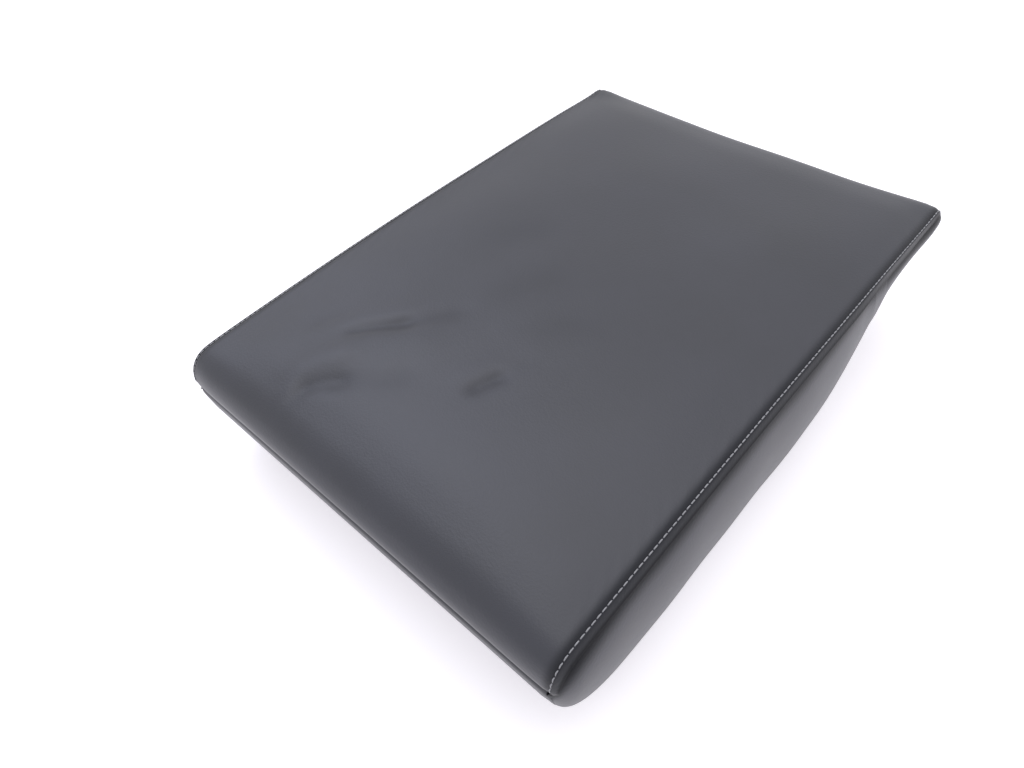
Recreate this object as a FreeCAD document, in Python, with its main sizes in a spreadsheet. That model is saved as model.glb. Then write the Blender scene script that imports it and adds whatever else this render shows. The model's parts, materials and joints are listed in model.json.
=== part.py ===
import FreeCAD, Part
import math
import os
import re
import Sketcher
from FreeCAD import Placement, Rotation, Vector

# Sizes in millimetres. X runs across the armrest, Y to its rear edge, Z up from the table it lies on.
SIZES = [
    # cushion outside
    ("seam_width", 262.0),
    ("side_bulge", 8.0),
    ("side_round", 7.5),
    ("length", 384.0),
    ("height", 84.0),
    ("top_crown", 5.0),
    ("nose_radius", 16.0),
    ("nose_drop", 24.0),
    ("lip_length", 90.0),
    ("lip_thick", 18.0),
    ("step_radius", 8.0),
    ("heel_radius", 24.0),
    ("leather", 1.6),
    ("flap_width", 5.5),
    ("flap_rise", 0.8),
    ("soft_gap", 0.3),
    # frame inside the cushion
    ("axle_height", 41.0),
    ("tube_dia", 14.0),
    ("tube_wall", 1.5),
    ("tube_legs", 180.0),
    ("tube_front", 72.0),
    ("tube_bend", 40.0),
    ("cover_depth", 6.0),
    ("rail_width", 208.0),
    ("rail_sheet", 2.0),
    ("rail_flange", 22.0),
    ("rail_low", 17.0),
    ("rail_bend", 3.0),
    # board that stiffens the rear lip
    ("board_under", 6.0),
    ("board_thick", 3.0),
    ("board_side", 11.0),
    ("board_back", 8.0),
    ("board_lap", 32.0),
    ("board_corner", 10.0),
    ("vent_dia", 16.0),
    ("vent_pitch", 44.0),
    ("vent_row", 30.0),
    ("vent_back", 26.0),
    ("board_screw_out", 80.0),
    ("board_screw_in", 27.0),
    # closing cover on the rear face
    ("window_width", 224.0),
    ("window_height", 30.0),
    ("cover_lap", 3.0),
    ("cover_wall", 2.5),
    ("cover_corner", 4.0),
    ("cover_boss_dia", 10.0),
    ("cover_screw_out", 74.0),
    ("cover_screw_in", 14.0),
    ("screw_dia", 4.0),
    ("screw_head_dia", 8.0),
    ("screw_head", 2.2),
    ("screw_length", 10.0),
    ("screw_clear", 0.2),
    # hinge arms
    ("arm_x", 62.0),
    ("arm_sheet", 4.0),
    ("arm_depth", 26.0),
    ("arm_foot", 28.0),
    ("arm_gap", 0.6),
    ("bolt_dia", 6.0),
    ("bolt_clear", 0.3),
    ("bolt_pitch", 12.0),
    ("bolt_flats", 10.0),
    ("bolt_head", 4.0),
    ("nut_height", 5.0),
    # pivot
    ("pivot_back", 26.0),
    ("pin_dia", 10.0),
    ("pin_fit", 0.05),
    ("pin_head_dia", 16.0),
    ("pin_head", 3.0),
    ("pin_tail", 3.5),
    ("bush_wall", 2.0),
    ("bush_seat", 0.02),
    ("bush_flange_dia", 21.0),
    ("bush_flange", 1.0),
    ("washer_dia", 20.0),
    ("washer_thick", 0.8),
    ("washer_gap", 0.1),
    ("ring_thick", 1.2),
    ("ring_depth", 0.8),
    ("ring_dia", 15.0),
    ("ring_gap", 0.3),
    # bracket bolted to the seat
    ("bracket_sheet", 3.0),
    ("bracket_lift", 3.0),
    ("bracket_front", 10.0),
    ("bracket_back", 24.0),
    ("bracket_corner", 6.0),
    ("ear_dia", 26.0),
    ("ear_back", 14.0),
    ("seat_hole_dia", 9.0),
    ("seat_hole_x", 80.0),
    ("seat_hole_y", 18.0),
    ("seat_hole_back", 7.0),
    ("stop_reach", 32.0),
    ("stop_length", 10.0),
    ("stop_width", 9.0),
    ("stop_depth", 12.0),
    ("bumper_thick", 3.0),
    ("bumper_gap", 0.2),
]

doc = FreeCAD.newDocument("rear_seat_armrest")
sheet = doc.addObject("Spreadsheet::Sheet", "Sizes")
for row, (name, value) in enumerate(SIZES, start=1):
    sheet.set("A%d" % row, name)
    sheet.set("B%d" % row, str(value))
    sheet.setAlias("B%d" % row, name)
doc.recompute()


def cells(text):
    """Writes the sheet's name in front of each named size of an expression."""
    return re.sub(r"[a-z][a-z_]+", lambda word: "Sizes." + word.group(0), text)


def size(text):
    """The value of an expression of named sizes."""
    return float(sheet.evalExpression(cells(text)))


# Places that several pieces share
REAR = "(length / 2)"
STEP = "(length / 2 - lip_length)"
WEB = "(length / 2 - lip_length - cover_depth)"
BOARD = "(height - lip_thick + board_under)"
RAIL_LOW = "(axle_height - rail_low)"
PIVOT = "(length / 2 - pivot_back)"
FLANGE_BACK = "(length / 2 - lip_length - leather - soft_gap)"
EAR_IN = "(arm_x + arm_sheet / 2 + bush_flange + washer_thick + 2 * washer_gap)"
STOP_TOP = "(axle_height - arm_depth / 2 - bumper_gap - bumper_thick)"
pieces = []


def keep(piece, label):
    """Names a finished piece and puts it on the list of parts to write."""
    piece.Label = label
    pieces.append(piece)
    return piece


def start_body(label):
    body = doc.addObject("PartDesign::Body", label)
    return keep(body, label)


def origin_plane(body, role):
    return [feature for feature in body.Origin.OriginFeatures if feature.Role == role][0]


def sketch_on(body, role, offset):
    """An empty sketch on one of the body's own planes, moved along the plane's axis to an offset."""
    sketch = body.newObject("Sketcher::SketchObject", body.Label + "_sketch")
    sketch.AttachmentSupport = [(origin_plane(body, role), "")]
    sketch.MapMode = "FlatFace"
    away = "0 - (%s)" % offset if role == "XZ_Plane" else offset
    sketch.setExpression("AttachmentOffset.Base.z", cells(away))
    return sketch


def pin_point(sketch, geometry, point, across, up):
    """Holds one point of a sketch at two bound distances from the sketch's origin."""
    for kind, text in (("DistanceX", across), ("DistanceY", up)):
        held = sketch.addConstraint(Sketcher.Constraint(kind, -1, 1, geometry, point, size(text)))
        sketch.setExpression("Constraints[%d]" % held, cells(text))


def add_polygon(sketch, corners):
    spots = [Vector(size(across), size(up), 0) for across, up in corners]
    first = len(sketch.Geometry)
    count = len(corners)
    for index in range(count):
        sketch.addGeometry(Part.LineSegment(spots[index], spots[(index + 1) % count]))
    for index in range(count):
        following = first + (index + 1) % count
        sketch.addConstraint(Sketcher.Constraint("Coincident", first + index, 2, following, 1))
    for index, (across, up) in enumerate(corners):
        pin_point(sketch, first + index, 1, across, up)


def add_circle(sketch, across, up, radius):
    centre = Vector(size(across), size(up), 0)
    circle = sketch.addGeometry(Part.Circle(centre, Vector(0, 0, 1), size(radius)))
    pin_point(sketch, circle, 3, across, up)
    held = sketch.addConstraint(Sketcher.Constraint("Radius", circle, size(radius)))
    sketch.setExpression("Constraints[%d]" % held, cells(radius))


def box_corners(low_x, high_x, low_y, high_y):
    return [(low_x, low_y), (high_x, low_y), (high_x, high_y), (low_x, high_y)]


def add_pad(body, sketch, length, backwards=False):
    pad = body.newObject("PartDesign::Pad", body.Label + "_pad")
    pad.Profile = sketch
    pad.Reversed = backwards
    pad.setExpression("Length", cells(length))
    doc.recompute()
    return pad


def add_pocket(body, sketch, depth, backwards=False):
    before = body.Shape.Volume
    pocket = body.newObject("PartDesign::Pocket", body.Label + "_pocket")
    pocket.Profile = sketch
    pocket.Reversed = backwards
    pocket.setExpression("Length", cells(depth))
    doc.recompute()
    if not body.Shape.Volume < before - 0.01:
        raise RuntimeError("a pocket of %s removes nothing" % body.Label)
    return pocket


def add_turning(body, corners):
    """A turned shape: the corners give the distance along X and the radius."""
    sketch = sketch_on(body, "XY_Plane", "0")
    add_polygon(sketch, corners)
    turning = body.newObject("PartDesign::Revolution", body.Label + "_turning")
    turning.Profile = sketch
    turning.ReferenceAxis = (sketch, ["H_Axis"])
    turning.Angle = 360
    doc.recompute()
    return turning


def add_mirror(body, originals):
    mirror = body.newObject("PartDesign::Mirrored", body.Label + "_mirror")
    mirror.Originals = originals
    mirror.MirrorPlane = (origin_plane(body, "YZ_Plane"), [""])
    body.Tip = mirror
    doc.recompute()
    return mirror


def add_fillet(body, radius, chosen):
    """Rounds the edges for which chosen(edge) is true."""
    base = body.Tip
    names = ["Edge%d" % (i + 1) for i, edge in enumerate(base.Shape.Edges) if chosen(edge)]
    if not names:
        raise RuntimeError("no edge to round on %s" % body.Label)
    fillet = body.newObject("PartDesign::Fillet", body.Label + "_fillet")
    fillet.Base = (base, names)
    fillet.setExpression("Radius", cells(radius))
    doc.recompute()
    return fillet


def along(edge, axis):
    """True for a straight edge that runs along one axis."""
    if not isinstance(edge.Curve, Part.Line):
        return False
    return abs(abs(edge.tangentAt(edge.FirstParameter)[axis]) - 1) < 1e-6


def near(value, text):
    return abs(value - size(text)) < 0.01


def place(body, side="0"):
    """Moves a turned piece to the hinge line."""
    body.setExpression("Placement.Base.y", cells(PIVOT))
    body.setExpression("Placement.Base.z", cells("axle_height"))
    if side == "left":
        body.Placement = Placement(body.Placement.Base, Rotation(Vector(0, 0, 1), 180))
    doc.recompute()


# Cushion outline
# Seen from the side, the cushion is a deep box with a rounded nose, and a thin lip runs back from its top.


def outline(inset):
    """The closed side outline at X = 0, drawn inset from the leather's outer face, or outset below zero."""
    front = -size("length") / 2
    rear = size("length") / 2
    step = size(STEP)
    top = size("height")
    crown = size("top_crown")
    nose = size("nose_radius")
    seam = size("height - nose_drop")
    lip = size("lip_thick")
    inner = size("step_radius")
    heel = size("heel_radius")
    bend = 0.5 ** 0.5

    def at(y, z):
        return Vector(0, y, z)

    def arc(start, middle, end):
        return Part.Arc(at(*start), at(*middle), at(*end)).toShape()

    def line(start, end):
        return Part.LineSegment(at(*start), at(*end)).toShape()

    centre = (front + nose + rear - lip / 2) / 2
    edges = [
        line((front, seam), (front, top - nose)),
        arc((front, top - nose), (front + nose - nose * bend, top - nose + nose * bend), (front + nose, top)),
        arc((front + nose, top), (centre, top + crown), (rear - lip / 2, top)),
        arc((rear - lip / 2, top), (rear, top - lip / 2), (rear - lip / 2, top - lip)),
        line((rear - lip / 2, top - lip), (step + inner, top - lip)),
        arc(
            (step + inner, top - lip),
            (step + inner - inner * bend, top - lip - inner + inner * bend),
            (step, top - lip - inner),
        ),
        line((step, top - lip - inner), (step, heel)),
        arc((step, heel), (step - heel + heel * bend, heel - heel * bend), (step - heel, 0)),
        line((step - heel, 0), (front + seam, 0)),
        arc((front + seam, 0), (front + seam - seam * bend, seam - seam * bend), (front, seam)),
    ]
    wire = Part.Wire(edges)
    if inset == 0:
        return wire
    moved = wire.makeOffset2D(-inset)
    grows = Part.Face(moved).Area > Part.Face(wire).Area
    return wire.makeOffset2D(inset) if grows == (inset > 0) else moved


def prism(inset, start, depth):
    """The outline filled and drawn out along X."""
    block = Part.Face(outline(inset)).extrude(Vector(depth, 0, 0))
    block.translate(Vector(start, 0, 0))
    return block


def swell(inset):
    """The swollen end of the cushion past the right seam."""
    seam = size("seam_width") / 2
    depth = size("side_bulge") - inset
    rounding = min(size("side_round"), size("side_bulge") - 0.5, size("lip_thick") / 2 - 1) - inset
    block = prism(inset, seam, depth)
    rim = [edge for edge in block.Edges if edge.BoundBox.XMin > seam + depth - 0.01]
    return block.makeFillet(rounding, rim)


def block(x0, x1, y0, y1, z0, z1):
    return Part.makeBox(x1 - x0, y1 - y0, z1 - z0, Vector(x0, y0, z0))


def slab(half, y0, y1, z0, z1):
    return block(-half, half, y0, y1, z0, z1)


def mirrored(shape):
    return shape.mirror(Vector(0, 0, 0), Vector(1, 0, 0))


def add_sewn(label, shape):
    """A sewn or moulded soft piece, kept as one solid."""
    if len(shape.Solids) != 1:
        raise RuntimeError("%s has %d solids" % (label, len(shape.Solids)))
    piece = doc.addObject("Part::Feature", label)
    piece.Shape = shape.Solids[0]
    return keep(piece, label)


# Leather cover
# One skin is split along the real seams: the front seam, the two side seams and the tuck under the lip.
seam_x = size("seam_width") / 2
skin = size("leather")
seam_z = size("height - nose_drop")
far = size("length + height + seam_width")
lip_low = size("height - lip_thick")
tuck = size(STEP + " + step_radius + leather")
tube_skin = prism(0, -seam_x, 2 * seam_x).cut(prism(skin, -seam_x, 2 * seam_x))
under = slab(far, -far, tuck, -far, seam_z).fuse(slab(far, 0, tuck, seam_z, lip_low + skin + 0.1))
window_x = size("window_width / 2")
window_z = size("window_height / 2")
hinge_z = size("axle_height")
window = slab(window_x, size(STEP) - 2 * skin, size(STEP) + 1, hinge_z - window_z, hinge_z + window_z)
window = window.makeFillet(size("cover_corner"), [edge for edge in window.Edges if along(edge, 1)])
bottom = tube_skin.common(under).cut(window)
top = tube_skin.cut(under)

# The seam allowance is turned under the top panel, which stands up in a narrow flap along each side seam.
rise = size("flap_rise")
flap_x = seam_x - size("flap_width")
raised = prism(-rise, flap_x, seam_x - flap_x).cut(prism(0, flap_x, seam_x - flap_x))
lip_mid = size("height - lip_thick / 2")
over_lip = slab(far, -far, size(REAR) - size("lip_thick") / 2, lip_mid, far)
over_nose = slab(far, -far, 0, seam_z, far)
flap_room = over_lip.fuse(over_nose)
flap = raised.common(flap_room)
top = top.fuse(flap).fuse(mirrored(flap)).removeSplitter()

side = swell(0).cut(swell(skin))
add_sewn("top_panel", top)
add_sewn("bottom_panel", bottom)
add_sewn("right_side_panel", side)
add_sewn("left_side_panel", mirrored(side))

# Foam
# Two moulded pads meet at the height of the frame, which lies in a round channel between them.
gap = size("soft_gap")
fill = skin + gap
end = swell(fill)
filling = prism(fill, -seam_x, 2 * seam_x).fuse(end).fuse(mirrored(end))
web_y = size(WEB)
board_z = size(BOARD)
bay_y = web_y - size("rail_flange") - gap
bay_low = min(size(RAIL_LOW), hinge_z - window_z - size("cover_lap")) - gap
bay = slab(window_x + size("cover_lap") + gap, bay_y, size(STEP), bay_low, board_z)
board_x = seam_x - size("board_side")
board_y = size(STEP) - size("board_lap")
board_end = size(REAR) - size("board_back")
slot = slab(board_x + gap, board_y - gap, board_end + gap, board_z - gap, board_z + size("board_thick") + gap)
filling = filling.cut(bay).cut(slot)
screw_y = web_y - size("rail_flange / 2")
for across in (size("board_screw_out"), size("board_screw_in")):
    for sign in (-1, 1):
        spot = Vector(sign * across, screw_y, board_z + size("board_thick"))
        head_room = Part.makeCylinder(size("screw_head_dia / 2") + gap, size("screw_head") + gap, spot)
        filling = filling.cut(head_room)
leg_x = size("tube_legs / 2")
bend_r = size("tube_bend")
front_y = -size("length") / 2 + size("tube_front")
hole_r = size("tube_dia / 2") + gap
bend_y = front_y + bend_r
front_end = Vector(bend_r - leg_x, front_y, hinge_z)
channel = Part.makeCylinder(hole_r, 2 * (leg_x - bend_r), front_end, Vector(1, 0, 0))
for sign in (-1, 1):
    leg_end = Vector(sign * leg_x, bend_y, hinge_z)
    leg = Part.makeCylinder(hole_r, bay_y + 1 - bend_y, leg_end, Vector(0, 1, 0))
    turn = Part.makeTorus(bend_r, hole_r, Vector(0, 0, 0), Vector(0, 0, 1), -180, 180, 90)
    turn.rotate(Vector(0, 0, 0), Vector(0, 0, 1), 180 if sign < 0 else 270)
    turn.translate(Vector(sign * (leg_x - bend_r), bend_y, hinge_z))
    channel = channel.fuse(leg).fuse(turn)
filling = filling.cut(channel)
low_half = slab(far, -far, size(STEP), -far, hinge_z)
add_sewn("lower_foam", filling.common(low_half))
add_sewn("top_foam", filling.cut(slab(far, -far, far, -far, hinge_z + gap)))

# Bent tube frame, swept as a ring along its centre line
tube = start_body("frame_tube")
path = sketch_on(tube, "XY_Plane", "axle_height")
start_y = web_y - size("rail_sheet")
path.addGeometry(Part.LineSegment(Vector(-leg_x, start_y, 0), Vector(-leg_x, bend_y, 0)))
path.addGeometry(Part.LineSegment(Vector(bend_r - leg_x, front_y, 0), Vector(leg_x - bend_r, front_y, 0)))
path.addGeometry(Part.LineSegment(Vector(leg_x, bend_y, 0), Vector(leg_x, start_y, 0)))
for sign, first in ((-1, math.pi), (1, 1.5 * math.pi)):
    ring = Part.Circle(Vector(sign * (leg_x - bend_r), bend_y, 0), Vector(0, 0, 1), bend_r)
    bend = path.addGeometry(Part.ArcOfCircle(ring, first, first + math.pi / 2))
    held = path.addConstraint(Sketcher.Constraint("Radius", bend, bend_r))
    path.setExpression("Constraints[%d]" % held, cells("tube_bend"))
path.addConstraint(Sketcher.Constraint("Tangent", 0, 2, 3, 1))
path.addConstraint(Sketcher.Constraint("Tangent", 3, 2, 1, 1))
path.addConstraint(Sketcher.Constraint("Tangent", 1, 2, 4, 1))
path.addConstraint(Sketcher.Constraint("Tangent", 4, 2, 2, 1))
pin_point(path, 0, 1, "0 - tube_legs / 2", WEB + " - rail_sheet")
pin_point(path, 2, 2, "tube_legs / 2", WEB + " - rail_sheet")
held = path.addConstraint(Sketcher.Constraint("DistanceY", -1, 1, 1, 1, front_y))
path.setExpression("Constraints[%d]" % held, cells("tube_front - length / 2"))
path.addConstraint(Sketcher.Constraint("Horizontal", 1))
ring = sketch_on(tube, "XZ_Plane", WEB + " - rail_sheet")
add_circle(ring, "0 - tube_legs / 2", "axle_height", "tube_dia / 2")
add_circle(ring, "0 - tube_legs / 2", "axle_height", "tube_dia / 2 - tube_wall")
doc.recompute()
sweep = tube.newObject("PartDesign::AdditivePipe", "frame_tube_sweep")
sweep.Profile = ring
sweep.Spine = (path, ["Edge%d" % (i + 1) for i in range(5)])
doc.recompute()

# Pressed rail across the rear of the frame: the tube's legs are welded inside it
rail = start_body("rear_rail")
profile = sketch_on(rail, "YZ_Plane", "0 - rail_width / 2")
TIP = WEB + " - rail_flange"
add_polygon(profile, [
    (TIP, RAIL_LOW), (WEB, RAIL_LOW), (WEB, BOARD), (TIP, BOARD), (TIP, BOARD + " - rail_sheet"),
    (WEB + " - rail_sheet", BOARD + " - rail_sheet"), (WEB + " - rail_sheet", RAIL_LOW + " + rail_sheet"),
    (TIP, RAIL_LOW + " + rail_sheet"),
])
add_pad(rail, profile, "rail_width")
add_fillet(rail, "rail_bend", lambda edge: along(edge, 0) and near(edge.BoundBox.YMin, WEB))
holes = sketch_on(rail, "XZ_Plane", WEB + " - rail_sheet - 1")
for sign in ("", "0 - "):
    for up in (" + bolt_pitch / 2", " - bolt_pitch / 2"):
        bolt_x = sign + "(arm_x + arm_sheet / 2 - arm_foot / 2)"
        add_circle(holes, bolt_x, "axle_height" + up, "bolt_dia / 2 + bolt_clear")
    for across in ("cover_screw_out", "cover_screw_in"):
        add_circle(holes, sign + across, "axle_height", "screw_dia / 2 + screw_clear")
add_pocket(rail, holes, "rail_sheet + 2")
holes = sketch_on(rail, "XY_Plane", BOARD + " + 1")
for sign in ("", "0 - "):
    for across in ("board_screw_out", "board_screw_in"):
        add_circle(holes, sign + across, WEB + " - rail_flange / 2", "screw_dia / 2 + screw_clear")
add_pocket(rail, holes, "rail_sheet + 2")

# Plastic board that carries the thin rear lip, with vents for the foam
board = start_body("lip_board")
plate = sketch_on(board, "XY_Plane", BOARD)
add_polygon(plate, box_corners("board_side - seam_width / 2", "seam_width / 2 - board_side",
                               STEP + " - board_lap", REAR + " - board_back"))
add_pad(board, plate, "board_thick")
BOARD_REAR = REAR + " - board_back"
add_fillet(board, "board_corner", lambda edge: along(edge, 2) and near(edge.BoundBox.YMin, BOARD_REAR))
holes = sketch_on(board, "XY_Plane", BOARD + " + board_thick + 1")
for sign in ("", "0 - "):
    for across in ("board_screw_out", "board_screw_in"):
        add_circle(holes, sign + across, WEB + " - rail_flange / 2", "screw_dia / 2 + screw_clear")
add_pocket(board, holes, "board_thick + 2")
vent = sketch_on(board, "XY_Plane", BOARD + " + board_thick + 1")
add_circle(vent, "0 - 2 * vent_pitch", STEP + " + vent_back", "vent_dia / 2")
first_vent = add_pocket(board, vent, "board_thick + 2")
vents = board.newObject("PartDesign::MultiTransform", "lip_board_vents")
vents.Originals = [first_vent]
row = board.newObject("PartDesign::LinearPattern", "lip_board_vent_row")
row.Direction = (vent, ["H_Axis"])
row.setExpression("Length", cells("4 * vent_pitch"))
row.Occurrences = 5
second = board.newObject("PartDesign::LinearPattern", "lip_board_vent_rows")
second.Direction = (vent, ["V_Axis"])
second.setExpression("Length", cells("vent_row"))
second.Occurrences = 2
vents.Transformations = [row, second]
board.Tip = vents
doc.recompute()


def add_screws(label, role, offset, spots, backwards):
    """Pan-head screws in one group: each head stands on a face and each shank goes in the other way."""
    group = start_body(label)
    heads = sketch_on(group, role, offset)
    shanks = sketch_on(group, role, offset)
    for across, up in spots:
        add_circle(heads, across, up, "screw_head_dia / 2")
        add_circle(shanks, across, up, "screw_dia / 2")
    add_pad(group, heads, "screw_head", backwards)
    add_pad(group, shanks, "screw_length", not backwards)


pairs = [("board_screw_out", 1), ("board_screw_in", 1), ("board_screw_in", -1), ("board_screw_out", -1)]
spots = [(("0 - " if s < 0 else "") + n, WEB + " - rail_flange / 2") for n, s in pairs]
add_screws("board_screws", "XY_Plane", BOARD + " + board_thick", spots, False)

# Closing cover over the rear face, with a slot for each hinge arm
cover = start_body("rear_cover")
LAP_X = "(window_width / 2 + cover_lap)"
LAP_Z = "(window_height / 2 + cover_lap)"
back = sketch_on(cover, "XZ_Plane", FLANGE_BACK + " - cover_wall")
add_polygon(back, box_corners("0 - " + LAP_X, LAP_X, "axle_height - " + LAP_Z, "axle_height + " + LAP_Z))
add_pad(cover, back, "cover_wall", True)
face = sketch_on(cover, "XZ_Plane", FLANGE_BACK)
FACE_X = "(window_width / 2 - soft_gap)"
FACE_Z = "(window_height / 2 - soft_gap)"
add_polygon(face, box_corners("0 - " + FACE_X, FACE_X, "axle_height - " + FACE_Z, "axle_height + " + FACE_Z))
add_pad(cover, face, "leather + soft_gap", True)
add_fillet(cover, "cover_corner - soft_gap",
           lambda edge: along(edge, 1) and near(abs(edge.BoundBox.XMin), FACE_X))
bosses = sketch_on(cover, "XZ_Plane", WEB)
for sign in ("", "0 - "):
    for across in ("cover_screw_out", "cover_screw_in"):
        add_circle(bosses, sign + across, "axle_height", "cover_boss_dia / 2")
add_pad(cover, bosses, FLANGE_BACK + " - cover_wall - " + WEB, True)
slots = sketch_on(cover, "XZ_Plane", WEB)
ARM_OUT = "(arm_x + arm_sheet / 2 + arm_gap)"
ARM_IN = "(arm_x + arm_sheet / 2 - arm_foot - arm_gap)"
SLOT_LOW = "axle_height - (arm_depth / 2 + arm_gap)"
SLOT_HIGH = "axle_height + (arm_depth / 2 + arm_gap)"
add_polygon(slots, box_corners(ARM_IN, ARM_OUT, SLOT_LOW, SLOT_HIGH))
add_polygon(slots, box_corners("0 - " + ARM_OUT, "0 - " + ARM_IN, SLOT_LOW, SLOT_HIGH))
add_pocket(cover, slots, "cover_depth + 2")
holes = sketch_on(cover, "XZ_Plane", WEB + " - 1")
for sign in ("", "0 - "):
    for across in ("cover_screw_out", "cover_screw_in"):
        add_circle(holes, sign + across, "axle_height", "screw_dia / 2 + screw_clear")
add_pocket(cover, holes, "cover_depth + 2")
pairs = [("cover_screw_out", 1), ("cover_screw_in", 1), ("cover_screw_in", -1), ("cover_screw_out", -1)]
spots = [(("0 - " if s < 0 else "") + n, "axle_height") for n, s in pairs]
add_screws("cover_screws", "XZ_Plane", STEP, spots, True)

# Hinge arms: a flat blade with an eye, bent over at the root into a foot that is bolted to the rail
for name, sign in (("right", ""), ("left", "0 - ")):
    arm = start_body("hinge_arm_" + name)
    inner = "arm_x - arm_sheet / 2" if name == "right" else "0 - (arm_x + arm_sheet / 2)"
    blade = sketch_on(arm, "YZ_Plane", inner)
    add_polygon(blade, box_corners(WEB, PIVOT, "axle_height - arm_depth / 2", "axle_height + arm_depth / 2"))
    add_pad(arm, blade, "arm_sheet")
    eye = sketch_on(arm, "YZ_Plane", inner)
    add_circle(eye, PIVOT, "axle_height", "arm_depth / 2")
    add_pad(arm, eye, "arm_sheet")
    foot = sketch_on(arm, "XZ_Plane", WEB)
    sides = [sign + "(arm_x + arm_sheet / 2 - arm_foot)", sign + "(arm_x + arm_sheet / 2)"]
    heights = ["axle_height - arm_depth / 2", "axle_height + arm_depth / 2"]
    add_polygon(foot, box_corners(sides[0], sides[1], heights[0], heights[1]))
    add_pad(arm, foot, "arm_sheet", True)
    bore = sketch_on(arm, "YZ_Plane", inner + " - 1")
    add_circle(bore, PIVOT, "axle_height", "pin_dia / 2 + pin_fit + bush_wall + bush_seat")
    add_pocket(arm, bore, "arm_sheet + 2", True)
    holes = sketch_on(arm, "XZ_Plane", WEB + " - 1")
    for up in (" + bolt_pitch / 2", " - bolt_pitch / 2"):
        bolt_x = sign + "(arm_x + arm_sheet / 2 - arm_foot / 2)"
        add_circle(holes, bolt_x, "axle_height" + up, "bolt_dia / 2 + bolt_clear")
    add_pocket(arm, holes, "arm_sheet + 2")

# Foot bolts and their weld nuts, four of each
BOLT_X = "(arm_x + arm_sheet / 2 - arm_foot / 2)"


def hexagon(across, up):
    half = "bolt_flats / 2"
    point = "bolt_flats / 2 * 1.1547"
    steps = [("0", point), (half, point + " / 2"), (half, "0 - " + point + " / 2"),
             ("0", "0 - " + point), ("0 - " + half, "0 - " + point + " / 2"), ("0 - " + half, point + " / 2")]
    return [("%s + (%s)" % (across, x), "%s + (%s)" % (up, z)) for x, z in steps]


def four_spots():
    for x in (BOLT_X, "0 - " + BOLT_X):
        for z in ("axle_height + bolt_pitch / 2", "axle_height - bolt_pitch / 2"):
            yield x, z


bolts = start_body("arm_bolts")
heads = sketch_on(bolts, "XZ_Plane", WEB + " + arm_sheet")
shanks = sketch_on(bolts, "XZ_Plane", WEB + " + arm_sheet")
for x, z in four_spots():
    add_polygon(heads, hexagon(x, z))
    add_circle(shanks, x, z, "bolt_dia / 2")
add_pad(bolts, heads, "bolt_head", True)
add_pad(bolts, shanks, "arm_sheet + rail_sheet + nut_height", False)
nuts = start_body("weld_nuts")
blanks = sketch_on(nuts, "XZ_Plane", WEB + " - rail_sheet")
for x, z in four_spots():
    add_polygon(blanks, hexagon(x, z))
add_pad(nuts, blanks, "nut_height", False)
taps = sketch_on(nuts, "XZ_Plane", WEB + " - rail_sheet - nut_height - 1")
for x, z in four_spots():
    add_circle(taps, x, z, "bolt_dia / 2 + pin_fit")
add_pocket(nuts, taps, "nut_height + 2")

# Pivot: on each side a shouldered pin through the ear, a spring washer, a flanged bush and a retaining ring
PIN_R = "pin_dia / 2"
BUSH_IN = "(arm_x - arm_sheet / 2)"
BUSH_OUT = "(arm_x + arm_sheet / 2)"
RING_OUT = "(arm_x - arm_sheet / 2 - ring_gap)"
RING_IN = "(arm_x - arm_sheet / 2 - ring_gap - ring_thick)"
for name in ("right", "left"):
    bush = start_body("pivot_bush_" + name)
    add_turning(bush, [
        (BUSH_IN, PIN_R + " + pin_fit"), (BUSH_OUT + " + bush_flange", PIN_R + " + pin_fit"),
        (BUSH_OUT + " + bush_flange", "bush_flange_dia / 2"), (BUSH_OUT, "bush_flange_dia / 2"),
        (BUSH_OUT, PIN_R + " + pin_fit + bush_wall"), (BUSH_IN, PIN_R + " + pin_fit + bush_wall"),
    ])
    washer = start_body("spring_washer_" + name)
    near_face = EAR_IN + " - washer_gap - washer_thick"
    far_face = EAR_IN + " - washer_gap"
    add_turning(washer, [
        (near_face, PIN_R + " + pin_fit"), (far_face, PIN_R + " + pin_fit"),
        (far_face, "washer_dia / 2"), (near_face, "washer_dia / 2"),
    ])
    shaft = start_body("pivot_pin_" + name)
    tail = RING_IN + " - pin_tail"
    groove = PIN_R + " - ring_depth"
    shoulder = EAR_IN + " + bracket_sheet"
    add_turning(shaft, [
        (tail, "0"), (shoulder + " + pin_head", "0"), (shoulder + " + pin_head", "pin_head_dia / 2"),
        (shoulder, "pin_head_dia / 2"), (shoulder, PIN_R), (RING_OUT, PIN_R), (RING_OUT, groove),
        (RING_IN, groove), (RING_IN, PIN_R), (tail, PIN_R),
    ])
    clip = start_body("retaining_ring_" + name)
    add_turning(clip, [
        (RING_IN, groove + " + pin_fit"), (RING_OUT, groove + " + pin_fit"),
        (RING_OUT, "ring_dia / 2"), (RING_IN, "ring_dia / 2"),
    ])
    for turned in (bush, washer, shaft, clip):
        place(turned, name)

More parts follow.
